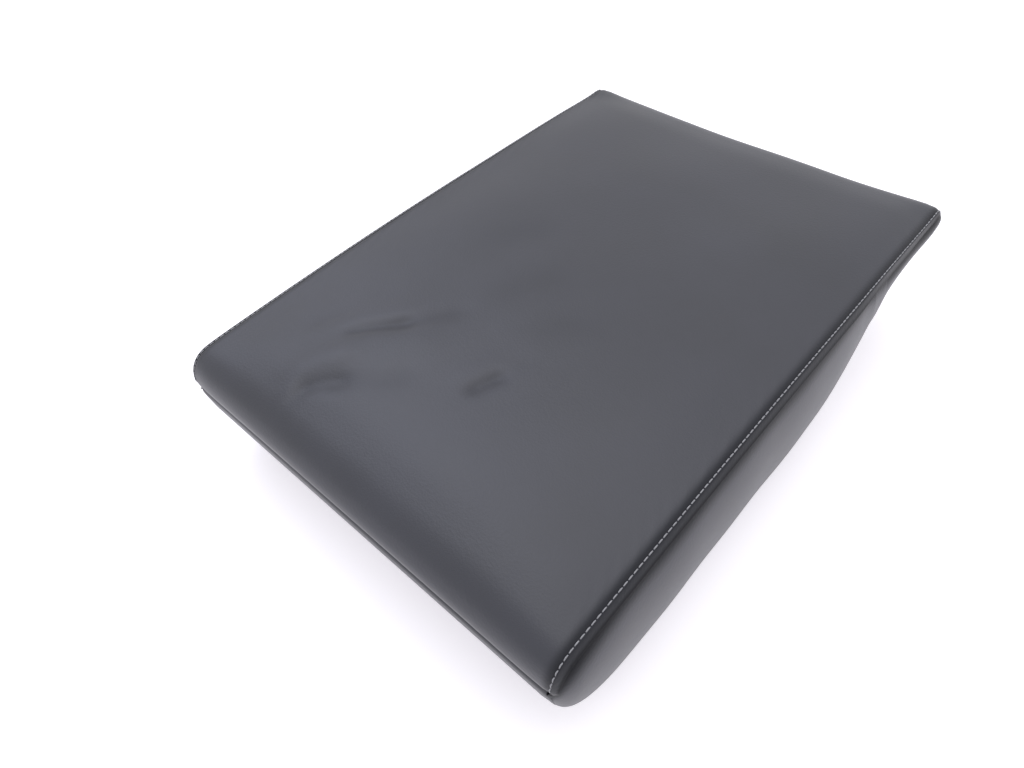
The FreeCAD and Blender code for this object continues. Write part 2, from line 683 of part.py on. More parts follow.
# Bracket: one pressed base with two ears, and a stop tab bent in under each arm
bracket = start_body("hinge_bracket")
EAR_OUT = "(" + EAR_IN + " + bracket_sheet)"
FOOT_FRONT = PIVOT + " - bracket_front"
base = sketch_on(bracket, "XY_Plane", "bracket_lift")
add_polygon(base, box_corners("0 - " + EAR_OUT, EAR_OUT, FOOT_FRONT, PIVOT + " + bracket_back"))
add_pad(bracket, base, "bracket_sheet")
add_fillet(bracket, "bracket_corner",
           lambda edge: along(edge, 2) and near(edge.BoundBox.YMin, PIVOT + " + bracket_back"))
ear = sketch_on(bracket, "YZ_Plane", EAR_IN)
add_polygon(ear, [
    (FOOT_FRONT, "bracket_lift"), (PIVOT + " + ear_back", "bracket_lift"),
    (PIVOT + " + ear_dia / 2", "axle_height"), (PIVOT + " - ear_dia / 2", "axle_height"),
])
ear_pad = add_pad(bracket, ear, "bracket_sheet")
eye = sketch_on(bracket, "YZ_Plane", EAR_IN)
add_circle(eye, PIVOT, "axle_height", "ear_dia / 2")
eye_pad = add_pad(bracket, eye, "bracket_sheet")
horn = sketch_on(bracket, "YZ_Plane", EAR_IN)
HORN_LOW = STOP_TOP + " - bracket_sheet"
add_polygon(horn, [
    (PIVOT + " - stop_reach", HORN_LOW), (FOOT_FRONT + " + 2", HORN_LOW + " - stop_depth"),
    (FOOT_FRONT + " + 2", HORN_LOW + " + stop_depth"), (PIVOT + " - stop_reach", STOP_TOP),
])
horn_pad = add_pad(bracket, horn, "bracket_sheet")
tab = sketch_on(bracket, "XY_Plane", HORN_LOW)
add_polygon(tab, box_corners(EAR_OUT + " - bracket_sheet - stop_width", EAR_OUT,
                             PIVOT + " - stop_reach", PIVOT + " - stop_reach + stop_length"))
tab_pad = add_pad(bracket, tab, "bracket_sheet")
add_mirror(bracket, [ear_pad, eye_pad, horn_pad, tab_pad])
bore = sketch_on(bracket, "YZ_Plane", EAR_OUT + " + 1")
add_circle(bore, PIVOT, "axle_height", PIN_R + " + pin_fit")
add_pocket(bracket, bore, "2 * " + EAR_OUT + " + 2")
seat = sketch_on(bracket, "XY_Plane", "bracket_lift + bracket_sheet + 1")
for x in ("seat_hole_x / 2", "0 - seat_hole_x / 2"):
    for y in (" + seat_hole_y / 2", " - seat_hole_y / 2"):
        add_circle(seat, x, PIVOT + " + seat_hole_back" + y, "seat_hole_dia / 2")
add_pocket(bracket, seat, "bracket_sheet + 2")

# Rubber stop pads under the arms
for name, sign in (("right", ""), ("left", "0 - ")):
    bumper = start_body("stop_bumper_" + name)
    pad = sketch_on(bumper, "XY_Plane", STOP_TOP)
    sides = [sign + "(" + EAR_IN + " - stop_width + 0.5)", sign + "(" + EAR_IN + " - 0.5)"]
    add_polygon(pad, box_corners(sides[0], sides[1], PIVOT + " - stop_reach + 0.5",
                                 PIVOT + " - stop_reach + stop_length - 0.5"))
    add_pad(bumper, pad, "bumper_thick")

doc.recompute()
for feature in doc.Objects:
    if "Invalid" in feature.State or "Error" in feature.State:
        raise RuntimeError("%s is %s" % (feature.Label, feature.State))
os.makedirs("parts", exist_ok=True)
for piece in pieces:
    if piece.Shape.isNull() or not piece.Shape.isValid():
        raise RuntimeError("%s has no valid shape" % piece.Label)
    piece.Shape.exportStep("parts/%s.step" % piece.Label)
print("wrote %d parts" % len(pieces))
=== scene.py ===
# %% [markdown]
# # A rear seat armrest in grey leather
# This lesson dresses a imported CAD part. The steel frame, hinge and bracket come from the CAD model
# and stay where they are. We make the sewn leather cover round them, its stitching and every
# finish, then light it.

# %% Load the fixed frame
import bmesh
import bpy
import json
import math
import numpy as np
from mathutils import Matrix, Vector, kdtree


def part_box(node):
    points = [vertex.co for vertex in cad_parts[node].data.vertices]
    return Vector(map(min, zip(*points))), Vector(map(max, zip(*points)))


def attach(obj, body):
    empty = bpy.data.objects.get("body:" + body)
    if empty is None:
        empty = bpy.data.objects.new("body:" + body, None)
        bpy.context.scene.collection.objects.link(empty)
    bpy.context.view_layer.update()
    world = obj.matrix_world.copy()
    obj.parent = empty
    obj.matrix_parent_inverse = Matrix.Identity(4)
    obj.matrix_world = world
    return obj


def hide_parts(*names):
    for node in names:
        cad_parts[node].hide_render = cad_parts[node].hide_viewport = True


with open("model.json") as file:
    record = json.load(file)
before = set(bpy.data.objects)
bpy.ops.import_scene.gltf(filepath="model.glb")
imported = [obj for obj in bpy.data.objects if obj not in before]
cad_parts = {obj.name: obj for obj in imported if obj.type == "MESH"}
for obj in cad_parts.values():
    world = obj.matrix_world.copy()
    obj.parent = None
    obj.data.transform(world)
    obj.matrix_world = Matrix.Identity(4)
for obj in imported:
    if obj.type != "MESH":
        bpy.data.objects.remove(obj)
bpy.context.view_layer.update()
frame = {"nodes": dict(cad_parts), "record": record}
MM = 0.001

# %% [markdown]
# ## The side outline
# A sewn cushion is easiest to think of as its pattern pieces. Seen from the side, this one is a
# deep box with a round nose, and a thin lip runs back from its top. The CAD panels give the sizes,
# so we read them from their boxes and draw the outline once, as two runs of points that start at
# the front seam: one over the top and one underneath.

# %% Sizes read from the CAD panels, in millimetres
panel_low, panel_high = (np.array(corner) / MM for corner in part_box("top_panel"))
_, belly_high = (np.array(corner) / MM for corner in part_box("bottom_panel"))
side_low, side_high = (np.array(corner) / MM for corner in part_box("right_side_panel"))
# The stuffed cover stands a little outside the seam line of the pattern
SEAM_X = float(panel_high[0]) + 1.5
BULGE = float(side_high[0] - panel_high[0])
FRONT = float(side_low[1])
REAR = float(side_high[1])
FRONT_SEAM_Z = float(panel_low[2])
TUCK_Y = float(belly_high[1])
# The top's height at its ends and its rise between them, then the radii of the nose and the lip
TOP_Z = 84.0
CROWN = 5.0
NOSE_R = 16.0
LIP_R = 9.0
LIP_UNDER_Z = TOP_Z - 2 * LIP_R
# The rear face of the deep body, with its radii under the lip and at the belly
STEP_Y = 102.0
STEP_R = 8.0
HEEL_R = 24.0
print("half width %.1f, front %.1f, rear %.1f, front seam at %.1f"
      % (SEAM_X, FRONT, REAR, FRONT_SEAM_Z))


# %% Draw the two runs of the outline
def arc(centre, radius, start, end, step=1.0):
    """Points of an arc between two angles in degrees, about a step apart."""
    count = max(3, int(abs(end - start) / 180 * math.pi * radius / step))
    angles = np.radians(np.linspace(start, end, count + 1))
    return np.column_stack([centre[0] + radius * np.cos(angles),
                            centre[1] + radius * np.sin(angles)])


def straight(start, end, step=1.5):
    """Points of a straight line, about a step apart."""
    count = max(1, int(math.dist(start, end) / step))
    return np.linspace(start, end, count + 1)


def join(*runs):
    """One run from several, without points that fall on each other."""
    points = np.vstack(runs)
    keep = np.ones(len(points), bool)
    keep[1:] = np.linalg.norm(np.diff(points, axis=0), axis=1) > 0.05
    return points[keep]


def crowned_top(start, end):
    """The flat top, which rises to the crown half way along."""
    y = np.linspace(start, end, 240)
    half = (end - start) / 2
    return np.column_stack([y, TOP_Z + CROWN * (1 - ((y - start - half) / half) ** 2)])


over = join(
    straight((FRONT, FRONT_SEAM_Z), (FRONT, TOP_Z - NOSE_R)),
    arc((FRONT + NOSE_R, TOP_Z - NOSE_R), NOSE_R, 180, 90),
    crowned_top(FRONT + NOSE_R, REAR - LIP_R),
    arc((REAR - LIP_R, TOP_Z - LIP_R), LIP_R, 90, -90),
    straight((REAR - LIP_R, LIP_UNDER_Z), (TUCK_Y, LIP_UNDER_Z)),
)
under = join(
    arc((FRONT + FRONT_SEAM_Z, FRONT_SEAM_Z), FRONT_SEAM_Z, 180, 270, 1.6),
    straight((FRONT + FRONT_SEAM_Z, 0), (STEP_Y - HEEL_R, 0), 2.5),
    arc((STEP_Y - HEEL_R, HEEL_R), HEEL_R, 270, 360),
    straight((STEP_Y, HEEL_R), (STEP_Y, LIP_UNDER_Z - STEP_R), 1.0),
    arc((STEP_Y + STEP_R, LIP_UNDER_Z - STEP_R), STEP_R, 180, 90),
    straight((STEP_Y + STEP_R, LIP_UNDER_Z), (TUCK_Y, LIP_UNDER_Z)),
)
print("points over the top: %d, underneath: %d" % (len(over), len(under)))


# %% [markdown]
# ## Softening the outline
# Leather over foam never keeps a machine-cut corner. We blur the outline along its length: a lot
# in the middle of the panel, where nothing holds the foam back, and only a little at the side
# seams, where the thread pulls it tight.

# %% Blur a run of points and find which way it faces
def length_along(points):
    """How far each point of a run lies from its start, measured along the run."""
    gaps = np.linalg.norm(np.diff(points, axis=0), axis=1)
    return np.concatenate([[0], np.cumsum(gaps)])


def blur(points, reach):
    """Averages each point with its neighbours over a reach in millimetres, and keeps the ends."""
    along = length_along(points)
    weight = np.exp(-(((along[:, None] - along[None, :]) / reach) ** 2))
    weight = weight * np.gradient(along)[None, :]
    room = np.minimum(along, along[-1] - along)
    share = np.clip(room / (1.6 * reach), 0, 1)[:, None]
    return points * (1 - share) + share * (weight @ points) / weight.sum(1, keepdims=True)


def facing(points, sign):
    """The outward normal of each point of a run."""
    ahead = np.gradient(points, axis=0)
    ahead /= np.linalg.norm(ahead, axis=1, keepdims=True)
    return sign * np.column_stack([-ahead[:, 1], ahead[:, 0]])


def at_lengths(points, along, wanted):
    """Points of a run at the wanted distances along it."""
    return np.column_stack([np.interp(wanted, along, points[:, i]) for i in (0, 1)])


def ease(x):
    """Zero below 0, one above 1, and a smooth rise between them."""
    x = np.clip(x, 0, 1)
    return x * x * (3 - 2 * x)


ROW_STEP = 1.9
MIDDLE_REACH = 9.0
SEAM_REACH = 5.0
run_length = length_along(over)
row_count = int(run_length[-1] / ROW_STEP) + 1
over = at_lengths(over, run_length, np.linspace(0, run_length[-1], row_count))
over_soft = blur(over, MIDDLE_REACH)
over_tight = blur(over, SEAM_REACH)
print("rows over the top:", len(over))

# %% [markdown]
# Under the lip the side seams do more. The thread draws the sharp step between the body and the
# lip into a long S, so the lower seam gets an outline of its own.

# %% Draw the S of the lower seams
S_REACH = 34.0
lip_run = np.vstack([
    straight((TUCK_Y, LIP_UNDER_Z), (REAR - LIP_R, LIP_UNDER_Z))[1:],
    arc((REAR - LIP_R, TOP_Z - LIP_R), LIP_R, -90, 0)[1:],
])
lower_plain = np.vstack([under, lip_run])
drawn = ease((lower_plain[:, 0] - 20) / 50) * ease((REAR - 10 - lower_plain[:, 0]) / 30)
lower_run = lower_plain + (blur(lower_plain, S_REACH) - lower_plain) * drawn[:, None]
under_side = lower_run[: len(under)]
print("the seam is drawn by up to %.1f mm" % np.abs(lower_run - lower_plain).max())

# %% [markdown]
# ## The top panel
# One piece of leather runs from the front seam, over the roll and the flat top, round the rear lip
# and under it. Along each side it is topstitched, and outside the stitches its edge is turned down
# into a narrow strip. We lay a grid on the outline and push each point along its own normal: that
# keeps the stitched edges exactly where the seams are.

# %% Columns of the grid, close together at the stitched edges
STITCH_IN = 1.2
# The strip bends down this far inside the seam line, and ends this far outside it
FOLD_IN = 0.75
RIM = 2.2
EDGE = 19
edge_steps = np.array([
    -RIM, -2.15, -2, -1.75, -1.4, -1, -0.6, -0.2, 0.15, 0.45, 0.7, 0.95, STITCH_IN, 1.45, 1.7,
    2, 2.4, 2.9, 3.5, 4.3, 5.2, 6.3, 8, 10, 12, 14, 16.5, EDGE])
middle = np.linspace(EDGE, 2 * SEAM_X - EDGE, 92)[1:-1]
from_left = np.concatenate([edge_steps, middle, 2 * SEAM_X - edge_steps[::-1]])
columns = from_left - SEAM_X
print("columns across the top:", len(columns))


# %% Height of the leather over the outline, near the side seams
def flap_profile(t):
    """Rise over the outline at a distance t from the side seam, in millimetres."""
    rounding = -0.9 * np.clip(1 - (t - STITCH_IN) / 18.0, 0, 1) ** 2
    valley_width = 1.7 if t > STITCH_IN else 0.55
    valley = -0.95 * np.exp(-(((t - STITCH_IN) / valley_width) ** 2))
    turned_down = -4.6 * np.clip((FOLD_IN - t) / (FOLD_IN + RIM), 0, 1) ** 1.15
    return rounding + valley + turned_down


print("leather in the stitched valley: %.2f mm, at the strip's end: %.2f mm"
      % (flap_profile(STITCH_IN), flap_profile(-RIM)))

# %% [markdown]
# The leather of the top has gone slack with use. It lies in a few short creases near the front and
# in slow, faint waves everywhere else. A crease is a smooth valley or ridge along a short line.

# %% Creases and waves
# Start, end, depth and width, in millimetres on the plan
CREASES = [
    ((-67, -119), (-50, -98), -1.5, 4.5),
    ((-72, -112), (-60, -96), 0.6, 11.0),
    ((-50, -98), (-34, -76), -0.8, 7.5),
    ((-62, -134), (-34, -106), 0.6, 13.0),
    ((-91, -127), (-84, -115), -0.35, 7.0),
    ((-69, -154), (-61, -136), 1.1, 9.0),
    ((-60, -161), (-48, -149), -1.1, 6.0),
    ((-48, -149), (-24, -128), -0.5, 8.0),
    ((-67, -179), (-65, -167), 1.0, 6.0),
    ((-57, -172), (-58, -164), -0.8, 5.0),
    ((13, -107), (17, -96), -1.4, 4.2),
    ((17, -94), (20, -82), -0.3, 6.5),
    ((4, -102), (9, -92), 0.35, 8.0),
    ((14, -50), (24, -40), -0.35, 11.0),
    ((-54, -8), (-46, 6), -0.35, 12.0),
    ((-20, -40), (-10, -24), -0.35, 12.0),
]


def crease_height(x, y):
    """The sum of all creases at points of the plan."""
    total = np.zeros_like(x)
    for (x0, y0), (x1, y1), depth, width in CREASES:
        dx, dy = x1 - x0, y1 - y0
        length = math.hypot(dx, dy)
        along = ((x - x0) * dx + (y - y0) * dy) / length
        wander = 0.06 * width * np.sin(along / 5.0)
        across = ((x - x0) * dy - (y - y0) * dx) / length + wander
        past = np.maximum(np.maximum(-along, along - length), 0)
        total += depth * np.exp(-((across / width) ** 2) - (past / (1.3 * width)) ** 2)
    return total


def slow_waves(x, y):
    """The faint unevenness of foam under leather."""
    return (
        0.35 * np.sin(x / 31.0 + 0.7) * np.sin(y / 43.0 + 1.9)
        + 0.25 * np.sin(x / 17.0 - y / 26.0 + 0.4)
        + 0.20 * np.sin(y / 19.0 + x / 47.0 + 2.6)
    )


print("creases: %d, the deepest %.1f mm" % (len(CREASES), -min(crease[2] for crease in CREASES)))


# %% Moves of the rear lip
def lip_rise(x, y):
    """The rear lip stands up a little, and its unsupported middle less than its corners."""
    ears = 1.2 * np.exp(-(((SEAM_X - abs(x)) / 14.0) ** 2)) * ease((y - 165.0) / 22.0)
    sag = 0.7 * ease((y - 96.0) / 92.0) * (1 - (x / SEAM_X) ** 2)
    return 1.5 * ease((y - 40.0) / 110.0) - sag + ears


def near_rear(y):
    """One at the rear edge of the lip, and zero from 40 mm ahead of it."""
    return ease((y - 150) / 38)


def rear_shift(t, y):
    """The foam pushes the lip back a little, and its corners are drawn in near the side seam."""
    pushed = 1.4 * ease((y - 60) / 130)
    return pushed - 3.5 * ease((y - 172.0) / 20.0) * np.exp(-max(t, 0.0) / 7.0)


def drawn_down(x, y):
    """How far the side seam pulls the underside of the lip down into the S."""
    beside = ease((abs(x) - SEAM_X + 18) / 16)
    moved = (lower_run - lower_plain)[len(under):, 1]
    return beside * np.interp(y, lower_plain[len(under):, 0], moved)


print("rear corner: %.1f mm up, %.1f mm back"
      % (lip_rise(SEAM_X, REAR), rear_shift(0.0, REAR)))


# %% Lay the grid of the top panel
def top_surface(x, rows=slice(None), rise=0.0):
    """Points of the top panel at one distance across: X, Y, Z in millimetres."""
    t = SEAM_X - abs(x)
    soft = ease(t / 70.0)
    line = over_tight * (1 - soft) + over_soft * soft
    y, z = line.T
    row = np.arange(len(line))
    flat_top = ease((y - FRONT - 6) / 26) * (z > TOP_Z - 8)
    # The turned-down strip gets narrower along the thin rear lip, and lies almost flat under it
    lower_side = ease((TOP_Z - LIP_R - z) / 4) * (y > 0)
    slim = (1 - 0.45 * ease((y - 60) / 60)) * (1 - 0.85 * lower_side)
    plain_x = np.sign(x) * (SEAM_X - max(t, FOLD_IN) + max(FOLD_IN - t, 0) * slim)
    # The stitched edge is flatter at the lip and at the front seam
    at_nose = np.exp(-((row / 6.0) ** 2))
    up = flap_profile(t) * (1 - 0.4 * near_rear(y)) * (1 - 0.6 * at_nose)
    # Foam puffs the front half up, over creases, waves and the puckers beside the stitches
    puff = 0.8 * ease(t / 60.0) * ease((y - FRONT - 4) / 60) * ease((150 - y) / 90) * flat_top
    up = up + puff
    uneven = crease_height(plain_x, y) + slow_waves(plain_x, y)
    up = up + flat_top * ease(t / 24.0) * uneven
    puckers = np.sin(y / 2.3 + 2.0 * np.sin(y / 19.0) + x)
    up = up + 0.10 * flat_top * puckers * np.exp(-(((t - 8.0) / 4.0) ** 2))
    up = up * (1 - 0.75 * lower_side)
    front_tuck = -1.6 * np.exp(-((row / 1.6) ** 2))
    up = up + front_tuck + rise
    yz = line + facing(line, 1) * up[:, None]
    yz[:, 0] += rear_shift(t, yz[:, 0])
    z = yz[:, 1] + lip_rise(plain_x, yz[:, 0]) + lower_side * drawn_down(plain_x, yz[:, 0])
    return np.column_stack([plain_x, yz[:, 0], z])[rows]


top_stack = np.array([top_surface(x) for x in columns])
print("top panel grid:", top_stack.shape)

# %% [markdown]
# ## Filling the cover with cloth simulation
# The foam is cut a little larger than the cover, so it presses the leather out wherever no seam
# holds it. We let the Cloth solver find that shape. A coarse closed copy of the cushion is pinned
# at its seams, belly and sides, pressure blows it up for twenty frames without gravity, and the
# movement it made is passed on to the fine grid.

# %% Blow up a coarse cushion and measure how far it moved
PRESSURE = 4.0
FRAMES = 20
# The voxels of the coarse copy, and how near to a seam it is held
VOXEL = 6
HELD = 7
# The foam is firm, so the movement levels off and never passes this many millimetres
MOST = 3.2


def coarse_cushion():
    """A closed cushion of even, coarse faces."""
    loop = np.vstack([over_tight[::3], under[::-1][::3]])
    count = len(loop)
    ends = [[(x, y, z) for y, z in loop] for x in (-SEAM_X, SEAM_X)]
    faces = [list(range(count)), list(range(2 * count - 1, count - 1, -1))]
    faces += [[i, i + count, (i + 1) % count + count, (i + 1) % count] for i in range(count)]
    mesh = bpy.data.meshes.new("coarse_cushion")
    mesh.from_pydata((np.array(ends[0] + ends[1]) * MM).tolist(), [], faces)
    block = bpy.data.objects.new("coarse_cushion", mesh)
    bpy.context.scene.collection.objects.link(block)
    even_out = block.modifiers.new("even faces", "REMESH")
    even_out.mode = "VOXEL"
    even_out.voxel_size = VOXEL * MM
    seen = block.evaluated_get(bpy.context.evaluated_depsgraph_get())
    block.data = bpy.data.meshes.new_from_object(seen)
    block.modifiers.clear()
    return block


def places(mesh):
    """The vertices of a mesh, in millimetres."""
    flat = np.empty(len(mesh.vertices) * 3)
    mesh.vertices.foreach_get("co", flat)
    return flat.reshape(-1, 3) / MM


def blow_up(block):
    """Runs the Cloth solver and returns where the points were and how far they moved."""
    rest = places(block.data)
    x, y, z = rest.T
    held = (abs(x) > SEAM_X - HELD) | (z < 3) | ((z < LIP_UNDER_Z + 3) & (y > 0))
    held |= np.hypot(y - FRONT, z - FRONT_SEAM_Z) < HELD
    held |= (z < FRONT_SEAM_Z) & (y < 0)
    pins = block.vertex_groups.new(name="seams")
    pins.add(np.flatnonzero(held).tolist(), 1.0, "REPLACE")
    cloth = block.modifiers.new("leather", "CLOTH")
    cloth.settings.quality = 5
    cloth.settings.vertex_group_mass = "seams"
    cloth.settings.use_pressure = True
    cloth.settings.uniform_pressure_force = PRESSURE
    cloth.settings.effector_weights.gravity = 0.0
    cloth.collision_settings.use_collision = False
    cloth.point_cache.frame_start = 1
    cloth.point_cache.frame_end = FRAMES
    for moment in range(1, FRAMES + 1):
        bpy.context.scene.frame_set(moment)
    filled = block.evaluated_get(bpy.context.evaluated_depsgraph_get())
    moved = places(filled.data) - rest
    bpy.context.scene.frame_set(1)
    bpy.data.objects.remove(block)
    far = np.linalg.norm(moved, axis=1)
    print("cloth points: %d, held: %d, most moved: %.1f mm" % (len(rest), held.sum(), far.max()))
    far = np.maximum(far, 1e-6)
    return rest, moved * (MOST * (1 - np.exp(-far / MOST)) / far)[:, None]


# %% Pass the movement on to the fine grid
def pass_on(stack, rest, moved, reach=11.0):
    """Adds the smoothed movement of the coarse cushion to a stack of points."""
    tree = kdtree.KDTree(len(rest))
    for i, place in enumerate(rest):
        tree.insert(place, i)
    tree.balance()
    fine = stack.reshape(-1, 3)
    shift = np.zeros_like(fine)
    for i, place in enumerate(fine):
        near = tree.find_range(place, 2 * reach)
        if near:
            index = [hit[1] for hit in near]
            weight = np.exp(-((np.array([hit[2] for hit in near]) / reach) ** 2))
            shift[i] = weight @ moved[index] / weight.sum()
    return (fine + shift).reshape(stack.shape)


top_stack = pass_on(top_stack, *blow_up(coarse_cushion()))
print("top panel rises to %.1f mm" % top_stack[..., 2].max())

# %% [markdown]
# ## Painted shade along the seams
# The stitched valley, the turned-down edge, the front seam and the bottoms of the creases lie in
# shade, and that shade is painted into the leather. We give every point of the grid a shade value
# from 0 to 1 and store it on the mesh, where the leather material can read it later.

# %% Painted shade of the top panel, and its mesh
def grid_mesh(name, stack, painted_shade):
    """A mesh object from a stack of equal rows of points in millimetres, with their painted shade.
    """
    rows, count = stack.shape[0], stack.shape[1]
    index = np.arange(rows * count).reshape(rows, count)
    corners = [index[:-1, :-1], index[1:, :-1], index[1:, 1:], index[:-1, 1:]]
    faces = np.stack(corners, axis=-1).reshape(-1, 4)
    mesh = bpy.data.meshes.new(name)
    mesh.from_pydata((stack.reshape(-1, 3) * MM).tolist(), [], faces.tolist())
    mesh.update()
    mesh.shade_smooth()
    layer = mesh.attributes.new("painted_seam_shade", "FLOAT", "POINT")
    layer.data.foreach_set("value", np.ascontiguousarray(painted_shade).ravel())
    piece = bpy.data.objects.new(name, mesh)
    bpy.context.scene.collection.objects.link(piece)
    return piece


from_seam = SEAM_X - abs(columns)
# Painted shade in the stitched valley, and darker painted shade on the turned-down strip outside the
# stitches
valley_painted_shade = 0.75 * (1 - ease((from_seam - STITCH_IN) / 6.0))
strip_painted_shade = 0.65 + 0.35 * ease((-0.8 - from_seam) / 1.2)
top_painted_shade = np.where(from_seam > STITCH_IN, valley_painted_shade, strip_painted_shade)[:, None]
# Painted shade in the bottoms of the creases on the top
hollow = np.clip(-crease_height(top_stack[..., 0], top_stack[..., 1]), 0, 1)
crease_painted_shade = hollow * (top_stack[..., 2] > TOP_Z - 8)
top_painted_shade = np.maximum(top_painted_shade, 0.2 * crease_painted_shade)
under_lip = (over[:, 1] < TOP_Z - LIP_R) & (over[:, 0] > 0)
top_painted_shade[:, under_lip] = 0
# Painted shade along the front seam
front_seam_painted_shade = np.exp(-((np.arange(len(over)) / 1.5) ** 2))
top_painted_shade = np.maximum(top_painted_shade, 0.8 * front_seam_painted_shade[None, :])
top_panel = grid_mesh("leather_top_panel", top_stack, top_painted_shade)
print("top panel vertices:", len(top_panel.data.vertices))

# %% [markdown]
# ## The side panels
# Each side panel is a long boat-shaped piece. Its upper edge follows the topstitched seam and its
# lower edge the seam with the bottom panel, and the foam swells it outwards between them. We pair
# points of the two edges, join each pair with a curved line and let it swell in proportion to its
# length: deep at the body, slight at the lip.

# %% Pair the two edges of a side panel
def part_way(points, low, high, count):
    """Evenly spaced points of a run between two of its own shares of length."""
    along = length_along(points)
    return at_lengths(points, along / along[-1], np.linspace(low, high, count))


def share_at(points, y):
    """The share of the run's length where it first passes a distance y."""
    along = length_along(points)
    return along[np.argmax(points[:, 0] >= y)] / along[-1]


lip_tip = int(np.argmax(over_tight[:, 0]))
upper_run = over_tight[: lip_tip + 1]
# Pairs that belong together: Y on the upper edge, Y on the lower edge, points up to there
STATIONS = [(-178, -186, 26), (-132, -132, 40), (78, 78, 90), (92, 101.9, 20), (108, 103, 26),
            (116, 112, 14), (183, 183, 46)]
LAST_POINTS = 12
upper_pairs = []
lower_pairs = []
upper_from = lower_from = 0.0
for upper_y, lower_y, count in STATIONS:
    upper_to = share_at(upper_run, upper_y)
    lower_to = share_at(lower_run, lower_y)
    upper_pairs.append(part_way(upper_run, upper_from, upper_to, count)[:-1])
    lower_pairs.append(part_way(lower_run, lower_from, lower_to, count)[:-1])
    upper_from, lower_from = upper_to, lower_to
upper_pairs = np.vstack(upper_pairs + [part_way(upper_run, upper_from, 1, LAST_POINTS)])
lower_pairs = np.vstack(lower_pairs + [part_way(lower_run, lower_from, 1, LAST_POINTS)])
print("pairs along a side panel:", len(upper_pairs))


# %% Swell the side panels
def side_stack(side):
    """Rows of points from the upper to the lower edge of a side panel, and their painted shade."""
    y = upper_pairs[:, 0]
    depth = np.linalg.norm(upper_pairs - lower_pairs, axis=1)
    at_lip = ease((y - 100) / 50)
    share = 0.19 + 0.10 * at_lip
    swelling = np.minimum(share * depth, BULGE + 1.6) * (1 - 0.45 * ease((y - 25) / 75))
    swelling += 1.2 * at_lip
    swelling = blur(np.column_stack([np.arange(len(depth)) * 1.5, swelling]), 14.0)[:, 1]
    # Both edges lie a little inside the outline, under the panels they are sewn to
    upper_in = upper_pairs - facing(upper_pairs, 1) * (2.4 - 1.3 * near_rear(y))[:, None]
    lower_in = lower_pairs - facing(lower_pairs, -1) * 1.6
    rows = []
    painted_shade = []
    for s in np.concatenate([[0, 0.012, 0.03], np.linspace(0.06, 0.94, 34), [0.97, 0.988, 1]]):
        yz = upper_in * (1 - s) + lower_in * s
        yz[:, 1] += lip_rise(SEAM_X, yz[:, 0]) * (1 - s) + lip_rise(SEAM_X - 20, yz[:, 0]) * s
        yz[:, 0] += rear_shift(0.0, yz[:, 0])
        out = np.maximum(1 - (2 * s - 1) ** 2, 0) ** (0.54 + 0.32 * (1 - s) ** 2)
        waves = 0.25 * np.sin(yz[:, 0] / 23.0) + 0.2 * np.sin(yz[:, 0] / 9.0 + 1)
        x = SEAM_X - 1.8 + swelling * out + waves * out
        rows.append(np.column_stack([side * x, yz[:, 0], yz[:, 1]]))
        # Painted shade under the seam: full in the top 5 mm of the panel, gone 16 mm down
        painted_shade.append(1 - ease((s * depth - 5.0) / 11.0))
    return np.array(rows), np.array(painted_shade)


side_panels = {}
for name, side in (("right", 1), ("left", -1)):
    stack, painted_shade = (rows[:, ::side] for rows in side_stack(side))
    side_panels[name] = grid_mesh("leather_%s_side_panel" % name, stack, painted_shade)
    print(name, "side panel vertices:", len(side_panels[name].data.vertices))

# %% [markdown]
# ## The bottom panel
# It starts at the front seam, runs under the belly and up the rear face, where a window is cut for
# the closing cover and the hinge arms. The belly lies on the table, so it stays flat; only its
# edges turn in towards the side seams.

# %% Rows and columns of the bottom panel, with lines on the edges of the window
WINDOW_X = 112.0
WINDOW_Z = (26.0, 56.0)
under_soft = blur(under, 2.5)
for z in WINDOW_Z:
    off_face = under[:, 0] < STEP_Y - 0.01
    under_soft[int(np.argmin(abs(under[:, 1] - z) + 1e3 * off_face))] = (STEP_Y, z)
across = np.concatenate([[0, 0.4, 1, 2, 3.5, 5.5, 8, 11, 15], np.linspace(EDGE, SEAM_X, 40)])
across = np.concatenate([across - SEAM_X, (SEAM_X - across)[::-1][1:]])
for side in (-1, 1):
    across[int(np.argmin(abs(across - side * WINDOW_X)))] = side * WINDOW_X
print("rows underneath: %d, columns: %d" % (len(under_soft), len(across)))


# %% Lay the grid of the bottom panel
def bottom_surface(x):
    """Points of the bottom panel at one distance across: X, Y, Z in millimetres."""
    t = SEAM_X - abs(x)
    row = np.arange(len(under_soft))
    # The edges turn in along the sides, from a little behind the front seam
    up = (-1.6 * (1 - ease(t / 9.0)) - 1.4 * (1 - ease(t / 1.2))) * ease(row / 22)
    up = up - 1.6 * np.exp(-((row / 1.7) ** 2)) - 1.2 * np.exp(-((row / 14.0) ** 2))
    beside = ease((abs(x) - WINDOW_X - 1) / 15)
    line = under_soft * (1 - beside) + under_side * beside
    yz = line + facing(under_soft, -1) * up[:, None]
    yz[:, 1] = np.maximum(yz[:, 1], 0.0)
    inward = 0.9 * np.exp(-row / 5.0) * (t < 3)
    skin = np.column_stack([x - np.sign(x) * inward, yz[:, 0], yz[:, 1]])
    # One more row is tucked up behind the edge of the top panel
    tuck = skin[0] + (-0.6 * np.sign(x), 3.0, 4.0)
    return np.vstack([tuck, skin])


bottom_stack = np.array([bottom_surface(x) for x in across])
# Painted shade along the front seam, where the bottom panel tucks under the top panel
bottom_painted_shade = 0.9 * np.exp(-((np.arange(bottom_stack.shape[1]) / 5.0) ** 2))
bottom_painted_shade = np.repeat(bottom_painted_shade[None, :], len(across), axis=0)
bottom_panel = grid_mesh("leather_bottom_panel", bottom_stack[::-1], bottom_painted_shade)
print("bottom panel faces:", len(bottom_panel.data.polygons))

